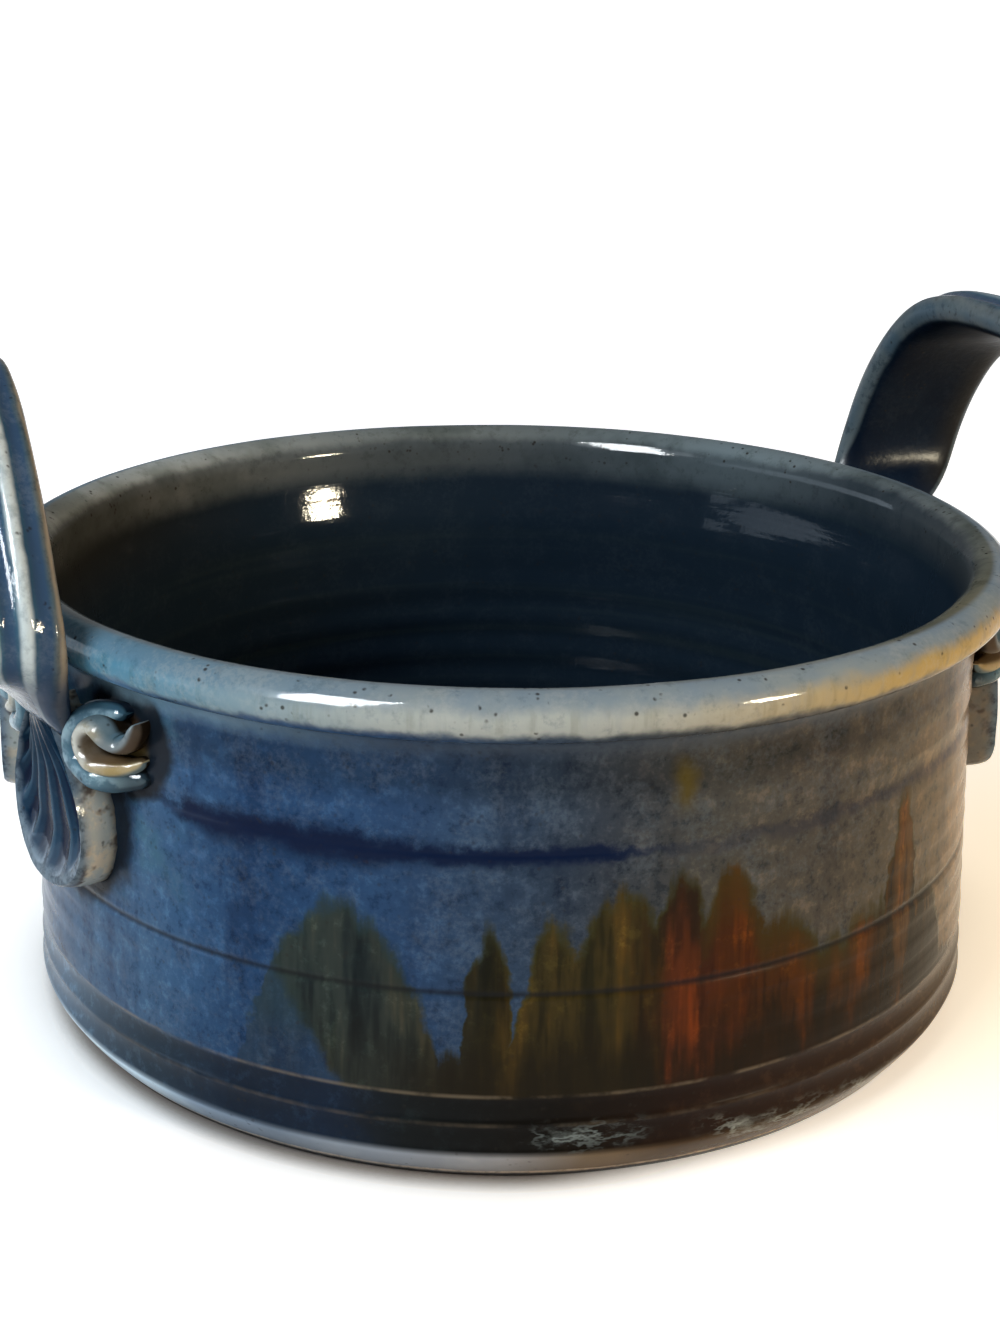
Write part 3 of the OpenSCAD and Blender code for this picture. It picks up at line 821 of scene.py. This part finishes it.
    # turned edges above the foot: the glaze breaks to cream on them and pools between
    low = n.shade(n.span(grain, 0.5, 0.7), n.ramp(round360, azimuthStops("low")), (1.8, 1.9, 1.9))
    wall = n.tint(n.times(n.span(z, 20.2, 18.4), 0.9), wall, low)
    worn = n.span(n.noise(place, 75, 4, 0.7), 0.38, 0.62)
    highEdge = n.times(n.band(z, dish["highEdge"] - 0.1, 0.7), worn)
    lowEdge = n.times(n.band(z, dish["lowEdge"], 0.7), n.times(worn, 0.4))
    wall = n.tint(n.times(n.calc("MAXIMUM", highEdge, lowEdge), 0.4), wall, glaze["cream"])
    # the bevel round the foot: glaze with a painted reflection of the pale floor
    bevelAndReflection = n.shade(n.span(cloud, 0.42, 0.7), n.ramp(round360, azimuthStops("foot")), (1.3, 1.26, 1.2))
    wall = n.tint(n.times(n.span(z, 8.4, 6.6), 0.92), wall, bevelAndReflection)

    # thin white crystals that float in threads over the lowest edge
    thread = n.band(n.noise(place, 70, 4, 0.66, (1, 1, 2.6)), 0.5, 0.045)
    haze = n.span(n.noise(place, 150, 5, 0.7, (1, 1, 2.2)), 0.44, 0.72)
    crystals = n.plus(n.times(thread, 0.75), n.times(haze, 0.6), hold=True)
    middle = n.plus(n.span(azimuth, 18.0, 28.0, 11.0, 6.8), n.span(azimuth, 30.0, 46.0, 0.0, -1.5))
    middle = n.plus(middle, n.times(rough, 5.0))
    where = n.times(n.ramp(round360, azimuthStops("wisps")), n.band(z, middle, 3.6))
    wall = n.tint(n.times(crystals, where), wall, n.tint(n.span(azimuth, 17.0, 23.0), *glaze["crystal"]))

    # glaze gathers darkly round the shells and scrolls, and thins just outside them
    sideTurn = n.times(n.calc("ARCTAN2", n.calc("ABSOLUTE", y), n.calc("ABSOLUTE", x)), neckRadius)
    offShell = n.minus(sideTurn, endAngle * neckRadius)
    up, wide, tall = glaze["shellPool"]
    nearShell = n.length(n.over(offShell, wide), n.over(n.minus(z, up), tall))
    up, wide, tall = glaze["scrollPool"]
    offScroll = n.minus(n.calc("ABSOLUTE", offShell), glaze["scrollOff"])
    nearScroll = n.length(n.over(offScroll, wide), n.over(n.minus(z, up), tall))
    near = n.plus(n.calc("MINIMUM", nearShell, nearScroll), n.times(rough, 0.3))
    thin = n.times(n.band(near, 1.22, 0.2), n.span(cloud, 0.4, 0.6))
    wall = n.tint(n.times(thin, 0.5), wall, glaze["teal"])
    wall = n.tint(n.times(n.span(near, 1.2, 0.96), 0.94), wall, glaze["pool"])
    deep = n.times(n.span(nearScroll, 0.62, 0.4), 0.9)
    wall = n.tint(deep, wall, n.tint(n.span(z, 78.0, 74.0), *glaze["deep"]))

    # the rolled rim: grey blue on top, cream where the glaze thins, golden on one side, and painted shade on its
    # underside
    toGold = n.calc("MAXIMUM", n.span(azimuth, 4.0, 50.0), n.span(azimuth, -190.0, -245.0))
    rimLow = n.tint(n.times(toGold, 0.95), glaze["rimLow"], glaze["rimGold"])
    toTeal = n.times(n.span(azimuth, -6.0, -42.0), n.span(azimuth, -235.0, -150.0))
    rimLow = n.tint(toTeal, rimLow, glaze["rimTeal"])
    rimStreak = n.noise(place, 260, 3, 0.6, (1, 1, 0.35))
    wavy = n.plus(z, n.times(rough, 4.0))
    toLow = n.span(wavy, 97.4, 94.4)
    rim = n.tint(n.span(cloud, 0.4, 0.66), *glaze["rimTop"])
    rim = n.tint(n.times(toTeal, 0.8), rim, glaze["rimTopTeal"])
    rim = n.tint(n.times(toLow, n.span(rimStreak, 0.25, 0.5, 0.7, 1.0)), rim, rimLow)
    rim = n.shade(n.span(grain, 0.49, 0.30), rim, (.74, .78, .80))
    rim = n.shade(n.times(n.span(fineStreak, 0.5, 0.68), n.times(toLow, 0.6)), rim, (.70, .72, .66))
    rim = n.tint(n.times(milk, 0.2), rim, glaze["rimMilk"])
    # painted shade on the underside of the rim
    rim = n.tint(n.span(wavy, 92.6, 90.4, 0.0, 0.75), rim, glaze["rimUnderShade"])
    onRim = n.times(n.span(wavy, 90.2, 92.4), n.span(radius, 98.0, 101.0))
    skin = n.tint(onRim, wall, rim)
    skin = n.tint(n.times(n.band(wavy, 87.6, 4.0), 0.6), skin, n.tint(toTeal, *glaze["neck"]))

    # the inside: near black, with paler throwing rings and a pale lip
    edge = n.plus(100.3, n.span(z, 91.5, 94.0, 0.0, 3.7))
    within = n.span(n.minus(edge, radius), -0.8, 0.9)
    hollow = n.tint(n.span(rings, 0.5, 0.72), *glaze["inside"])
    hollow = n.tint(n.times(milk, 0.05), hollow, glaze["insideMilk"])
    lip = n.ramp(round360, azimuthStops("lip"))
    lip = n.shade(n.span(cloud, 0.54, 0.36), lip, (.66, .68, .66))
    lip = n.shade(n.span(grain, 0.50, 0.32), lip, (.74, .74, .72))
    onLeft = n.band(azimuth, -95.0, 55.0)
    lipDrop = n.plus(n.span(azimuth, -218.0, -242.0, 0.0, 1.6), n.span(azimuth, 45.0, 75.0, 0.0, 1.6))
    wavyLip = n.minus(n.plus(z, n.times(rough, 3.0)), lipDrop)
    hollow = n.tint(n.times(onLeft, n.span(z, 68.0, 90.0, 0.0, 0.8)), hollow, glaze["insideLeft"])
    lipShare = n.times(n.span(azimuth, -218.0, -242.0, 0.42, 0.18), n.span(azimuth, 40.0, 70.0, 1.0, 0.43))
    lipShare = n.times(lipShare, n.span(onLeft, 0.0, 1.0, 1.0, 0.4))
    hollow = n.tint(n.times(n.span(wavyLip, 84.5, 91.0), lipShare), hollow, lip)
    hollow = n.tint(n.span(wavyLip, 94.8, 97.2, 0.0, 0.95), hollow, lip)
    skin = n.tint(within, skin, hollow)
    skin = n.tint(n.times(speckle["Specks"], n.span(z, 88.0, 94.0, 0.35, 0.85)), skin, glaze["speck"])

    # bare clay under the foot
    bare = n.span(n.plus(z, n.times(rough, 0.9)), 2.4, 1.6)
    bare = n.times(bare, n.minus(1.0, within))
    skin = n.tint(bare, skin, n.tint(n.span(n.noise(place, 700, 3, 0.7), 0.4, 0.7), *glaze["clay"]))
    outside = n.times(n.span(z, 90.0, 86.0), n.minus(1.0, within))
    gloss = n.plus(n.times(cloud, 0.06), n.plus(n.times(outside, 0.12), 0.04))
    gloss = n.plus(gloss, n.times(bare, 0.7))
    height = n.plus(n.times(speckle["Skin"], 0.35), n.times(rings, 0.9))
    finishGlaze(n, shader, skin, gloss, n.plus(height, n.times(inRun, 0.5)), 0.00012)
    return material


# glaze of the straps: pale on the ridges with a painted highlight, navy in the flutes, tan on the edges, and an
# underside darkened as painted shade with a warm painted reflection
strapColours = {
    "skin": ((.028, .074, .120), (.044, .114, .168)), "valley": (.032, .062, .125), "ridgeAndHighlight": (.580, .660, .670),
    "under": ((.0016, .0062, .0165), (.0034, .0105, .0225)), "underWarm": (.028, .023, .012),
    "edgeLeft": ((.085, .115, .125), (.120, .125, .110)), "edgeRight": ((.060, .098, .128), (.100, .128, .140)),
    "tan": (.40, .34, .25), "milk": (.26, .30, .32), "speck": (.018, .016, .014),
    "pool": ((.010, .026, .062), (.022, .050, .095)),
}


def strapMaterial():
    material, n, shader, place, speckle = newGlaze("strap_glaze", 0.045, specks=0.7)
    colours, cloud = strapColours, speckle["Cloud"]
    across, outer, along = [n.mark(name) for name in ("across", "outer", "along")]
    across = n.plus(across, n.sway(n.noise(place, 60, 3), 0.14))
    wave = n.calc("COSINE", n.times(n.minus(1.0, across), math.pi * strap["flutes"]))
    far = n.calc("ABSOLUTE", across)
    onRight = rightSide(n, place)
    # pale cream ridges with a painted highlight on them
    ridgeAndHighlight = n.times(n.span(wave, -0.1, 0.9), n.span(far, 0.86, 0.76))
    ridgeAndHighlight = n.times(ridgeAndHighlight, n.span(onRight, 0.0, 1.0, 1.0, 0.4))
    grain = n.noise(place, 260, 4, 0.7)
    skin = n.tint(n.span(cloud, 0.4, 0.68), *colours["skin"])
    skin = n.tint(n.times(n.span(wave, 0.1, -0.8), 0.8), skin, colours["valley"])
    skin = n.tint(n.times(ridgeAndHighlight, n.span(grain, 0.3, 0.55, 0.6, 0.95)), skin, colours["ridgeAndHighlight"])
    # the underside: dark navy glaze, darkened further as painted shade
    under = n.tint(n.span(cloud, 0.44, 0.74), *colours["under"])
    # a painted warm reflection of the floor on one side of the underside
    under = n.tint(n.span(across, 0.3, 0.9, 0.0, 0.45), under, colours["underWarm"])
    skin = n.tint(n.span(outer, 0.4, 0.6), under, skin)
    worn = n.span(n.noise(place, 90, 3), 0.36, 0.64)
    edge = n.tint(onRight, n.tint(worn, *colours["edgeLeft"]), n.tint(worn, *colours["edgeRight"]))
    edge = n.shade(n.span(grain, 0.5, 0.34), edge, (.5, .55, .6))
    skin = n.tint(n.span(far, 0.85, 0.94, 0.0, 0.92), skin, edge)
    tan = n.times(outer, n.span(onRight, 0.0, 1.0, 0.7, 0.15))
    skin = n.tint(n.times(n.band(far, 0.97, 0.05), tan), skin, colours["tan"])
    skin = n.tint(n.times(speckle["Milk"], n.span(outer, 0.4, 0.6, 0.02, 0.14)), skin, colours["milk"])
    skin = n.tint(speckle["Specks"], skin, colours["speck"])
    pool = n.tint(n.span(cloud, 0.4, 0.66), *colours["pool"])
    skin = n.tint(n.times(n.span(along, 1.0, 0.1), 0.8), skin, pool)
    gloss = n.plus(n.times(cloud, 0.08), n.span(outer, 0.6, 0.4, 0.04, 0.26))
    finishGlaze(n, shader, skin, gloss, speckle["Skin"], 0.0001)
    return material


# glaze of the shells: dark between the ribs, pale on the border, cream down the sides, brightened there as painted
# light
shellColours = {
    "skin": ((.006, .022, .050), (.011, .038, .074)), "hollow": (.002, .006, .024), "rib": (.034, .088, .140),
    "rim": ((.060, .085, .110), (.190, .250, .300)), "litFlank": ((.400, .420, .385), (.580, .500, .370)),
    "flankSpot": (.100, .068, .045), "flankRight": (.080, .062, .046), "foot": (.012, .012, .012),
    "milk": (.24, .29, .32), "speck": (.018, .016, .014),
}


def shellMaterial():
    material, n, shader, place, speckle = newGlaze("shell_glaze", 0.055, specks=0.6, milk=0.03)
    colours, cloud = shellColours, speckle["Cloud"]
    rib, rim, skirt = [n.mark(name) for name in ("rib", "rim", "skirt")]
    skin = n.tint(n.span(cloud, 0.4, 0.68), *colours["skin"])
    skin = n.tint(n.times(n.span(rib, 0.45, 0.05), 0.9), skin, colours["hollow"])
    skin = n.tint(n.times(n.span(rib, 0.74, 0.99), 0.55), skin, colours["rib"])
    border = n.tint(n.span(n.noise(place, 330, 4, 0.7), 0.36, 0.56), *colours["rim"])
    skin = n.tint(n.span(rim, 0.3, 1.0, 0.0, 0.75), skin, border)
    # the cream sides, brightened as painted light
    litFlank = n.tint(n.span(n.noise(place, 230, 4, 0.65), 0.45, 0.62), *colours["litFlank"])
    litFlank = n.tint(n.span(n.noise(place, 190, 3, 0.6), 0.52, 0.66), litFlank, colours["flankSpot"])
    litFlank = n.tint(n.times(rightSide(n, place), 0.7), litFlank, colours["flankRight"])
    skin = n.tint(n.times(n.span(skirt, 0.05, 0.4), 0.9), skin, litFlank)
    skin = n.tint(n.times(n.span(skirt, 0.66, 0.92), 0.9), skin, colours["foot"])
    skin = n.tint(speckle["Milk"], skin, colours["milk"])
    skin = n.tint(speckle["Specks"], skin, colours["speck"])
    finishGlaze(n, shader, skin, n.plus(n.times(cloud, 0.1), 0.05), speckle["Skin"], 0.0001)
    return material


# glaze of the scrolls: teal on the roll with a painted highlight on its crest, cream and tan on the lip, and painted
# shade low on the sides of both
scrollColours = {
    "roll": ((.032, .084, .128), (.070, .148, .200)), "rollCrestHighlight": (.310, .450, .510), "rollSideShade": (.006, .011, .020),
    "rollStart": (.012, .016, .020), "lip": ((.540, .530, .470), (.330, .290, .205)), "lipStart": (.330, .245, .095),
    "lipEnd": (.115, .155, .180), "lipOutside": (.070, .135, .175), "lipInside": (.070, .042, .020),
    "lipFootShade": (.014, .009, .005), "speck": (.020, .016, .013),
}


def scrollMaterial():
    material, n, shader, place, speckle = newGlaze("scroll_glaze", 0.06, specks=0.6)
    colours, cloud = scrollColours, speckle["Cloud"]
    crest, along, onLip, outward = [n.mark(name) for name in ("crest", "along", "lip", "outward")]
    worn = n.noise(place, 190, 4, 0.65)
    roll = n.tint(n.span(cloud, 0.4, 0.66), *colours["roll"])
    # a painted highlight along the crest of the roll
    crestHighlight = n.times(n.span(crest, 0.80, 1.0), n.span(worn, 0.40, 0.58, 0.15, 0.75))
    roll = n.tint(crestHighlight, roll, colours["rollCrestHighlight"])
    # painted shade low on the sides of the roll
    roll = n.tint(n.span(crest, 0.60, 0.15), roll, colours["rollSideShade"])
    roll = n.tint(n.span(along, 0.24, 0.06, 0.0, 0.8), roll, colours["rollStart"])
    lip = n.tint(n.span(worn, 0.40, 0.62), *colours["lip"])
    lip = n.tint(n.span(along, 0.34, 0.14, 0.0, 0.8), lip, colours["lipStart"])
    lip = n.tint(n.span(along, 0.66, 0.78, 0.0, 0.85), lip, colours["lipEnd"])
    lip = n.tint(n.span(outward, 0.25, 0.85, 0.0, 0.85), lip, colours["lipOutside"])
    lip = n.tint(n.span(outward, -0.15, -0.7, 0.0, 0.9), lip, colours["lipInside"])
    # painted shade low on the sides of the lip
    lip = n.tint(n.span(crest, 0.35, 0.0), lip, colours["lipFootShade"])
    skin = n.tint(speckle["Specks"], n.tint(onLip, roll, lip), colours["speck"])
    finishGlaze(n, shader, skin, n.plus(n.times(cloud, 0.1), 0.05), speckle["Skin"], 0.0001)
    return material


dishGlaze, strapGlaze, shellGlaze, scrollGlaze = dishMaterial(), strapMaterial(), shellMaterial(), scrollMaterial()
finishPiece(glazedDish, dishGlaze, "dish_glaze", "thrown_dish")
for side, piece in straps.items():
    finishPiece(piece, strapGlaze, "strap_glaze", "handle_strap_" + side)
for name, piece in shells.items():
    finishPiece(piece, shellGlaze, "shell_glaze", "shell_" + name)
for name, piece in scrolls.items():
    finishPiece(piece, scrollGlaze, "scroll_glaze", "scroll_" + name)
print("glazes done")

# floor, light and camera
stage = {
    "floorSize": 80.0, "floorColour": (.90, .895, .885), "lift": (0.70, 0.92), "liftReach": (0.2, 1.6),
    "warm": (1.0, .80, .50), "warmAt": (0.188, -0.068, 0), "warmReach": (0.27, 0.04), "warmShare": 0.7,
    "shadow": (.085, .060, .042), "shadowReach": 0.05, "shadowSide": (0.574, 0.819),
    "fill": 0.26, "fillColour": (.94, .97, 1.0), "lampFar": 1.2, "lampAim": (0, 0, 0.06),
}


def makeFloor():
    deselectAll()
    bpy.ops.mesh.primitive_plane_add(size=stage["floorSize"])
    floor = bpy.context.object
    floor.name = floor.data.name = "floor"
    material, n = newMaterial("pale_floor")
    # warm light lies on one side of the dish, and a close dark shadow round the foot
    place = n.add("ShaderNodeTexCoord").outputs["Object"]
    away = n.add("ShaderNodeVectorMath", i0=place, i1=stage["warmAt"])
    away.operation = "DISTANCE"
    warm = n.span(away.outputs["Value"], *stage["warmReach"], 0.0, stage["warmShare"])
    close = n.add("ShaderNodeAmbientOcclusion", Distance=stage["shadowReach"])
    axis = n.add("ShaderNodeSeparateXYZ", Vector=place).outputs
    lit = n.minus(n.times(axis[0], stage["shadowSide"][0]), n.times(axis[1], stage["shadowSide"][1]))
    shade = n.times(n.span(close.outputs["AO"], 0.9, 0.2), n.span(lit, 0.10, 0.06, 0.25, 1.0))
    tone = n.tint(warm, stage["floorColour"], stage["warm"])
    tone = n.tint(n.times(n.calc("POWER", shade, 2.0), 0.9), tone, stage["shadow"])
    matte = n.add("ShaderNodeBsdfDiffuse", Color=tone)
    # the camera and the gloss see it nearly white
    rays = n.add("ShaderNodeLightPath").outputs
    seen = n.calc("MAXIMUM", rays["Is Camera Ray"], rays["Is Glossy Ray"])
    seen = n.calc("MAXIMUM", seen, rays["Is Transmission Ray"])
    seen = n.times(seen, n.minus(1.0, shade))
    reach = n.add("ShaderNodeVectorMath", i0=place)
    reach.operation = "LENGTH"
    lift = n.span(reach.outputs["Value"], *stage["liftReach"], *stage["lift"])
    glowTint = n.tint(warm, (1, 1, 1), stage["warm"])
    glow = n.add("ShaderNodeEmission", Color=glowTint, Strength=n.times(seen, lift))
    both = n.add("ShaderNodeAddShader", i0=matte.outputs[0], i1=glow.outputs[0])
    n.add("ShaderNodeOutputMaterial", Surface=both.outputs[0])
    floor.data.materials.append(material)


makeFloor()

world = bpy.data.worlds.new("soft_fill")
scene.world = world
world.use_nodes = True
fill = world.node_tree.nodes["Background"].inputs
fill[0].default_value, fill[1].default_value = (*stage["fillColour"], 1), stage["fill"]

# each lamp stands at an angle round the dish and a height angle, in degrees; a gleam shows in the gloss alone
lamps = {
    "window": {"round": -62, "up": 37, "wide": 0.65, "tall": 0.42, "power": 10, "colour": (.84, .93, 1.0)},
    "windowGleam": {"round": -60, "up": 38, "wide": 0.34, "tall": 0.7, "power": 170, "colour": (.92, .97, 1.0)},
    "lamp": {"round": 35, "up": 15, "wide": 0.18, "tall": 0.18, "power": 6, "colour": (1.0, .70, .40)},
    "lampGleam": {"round": 35, "up": 13, "wide": 0.20, "tall": 0.15, "power": 46, "colour": (1.0, .90, .66)},
    "paleWall": {"round": -114, "up": 9, "wide": 1.5, "tall": 0.5, "power": 16, "colour": (.72, .86, 1.0)},
}
for name, data in lamps.items():
    light = bpy.data.lights.new(name, "AREA")
    light.shape = "ELLIPSE" if "lamp" in name else "RECTANGLE"
    light.size, light.size_y = data["wide"], data["tall"]
    light.energy, light.color = data["power"], data["colour"]
    place = bpy.data.objects.new(name, light)
    scene.collection.objects.link(place)
    a, e = math.radians(data["round"]), math.radians(data["up"])
    aim = Vector((math.sin(a) * math.cos(e), -math.cos(a) * math.cos(e), math.sin(e)))
    place.location = Vector(stage["lampAim"]) + aim * stage["lampFar"]
    place.rotation_euler = (-aim).to_track_quat("-Z", "Y").to_euler()
    place.visible_diffuse = name in ("window", "lamp")

view = {"place": (-144.2, -396.1, 213.7), "pitch": 19.2424, "yaw": -0.0963, "roll": 0.6173, "turn": -20,
        "lens": 54.014, "sensor": 36, "clip": (0.01, 200)}
pitch, yaw, roll = [math.radians(view[k]) for k in ("pitch", "yaw", "roll")]
ahead = Vector((math.sin(yaw) * math.cos(pitch), math.cos(yaw) * math.cos(pitch), -math.sin(pitch)))
right = Vector((math.cos(yaw), -math.sin(yaw), 0))
above = right.cross(ahead)
right, above = math.cos(roll) * right + math.sin(roll) * above, math.cos(roll) * above - math.sin(roll) * right
turn = Matrix.Rotation(math.radians(view["turn"]), 3, "Z")
camera = bpy.data.objects.new("camera", bpy.data.cameras.new("camera"))
scene.collection.objects.link(camera)
camera.data.lens, camera.data.sensor_width, camera.data.sensor_fit = view["lens"], view["sensor"], "AUTO"
camera.data.clip_start, camera.data.clip_end = view["clip"]
axes = [turn @ v for v in (right, above, -ahead)]
camera.matrix_world = Matrix.Translation(Vector(view["place"]) * mm) @ Matrix(axes).transposed().to_4x4()
scene.camera = camera
scene.view_settings.view_transform = "Standard"
print("stage done")
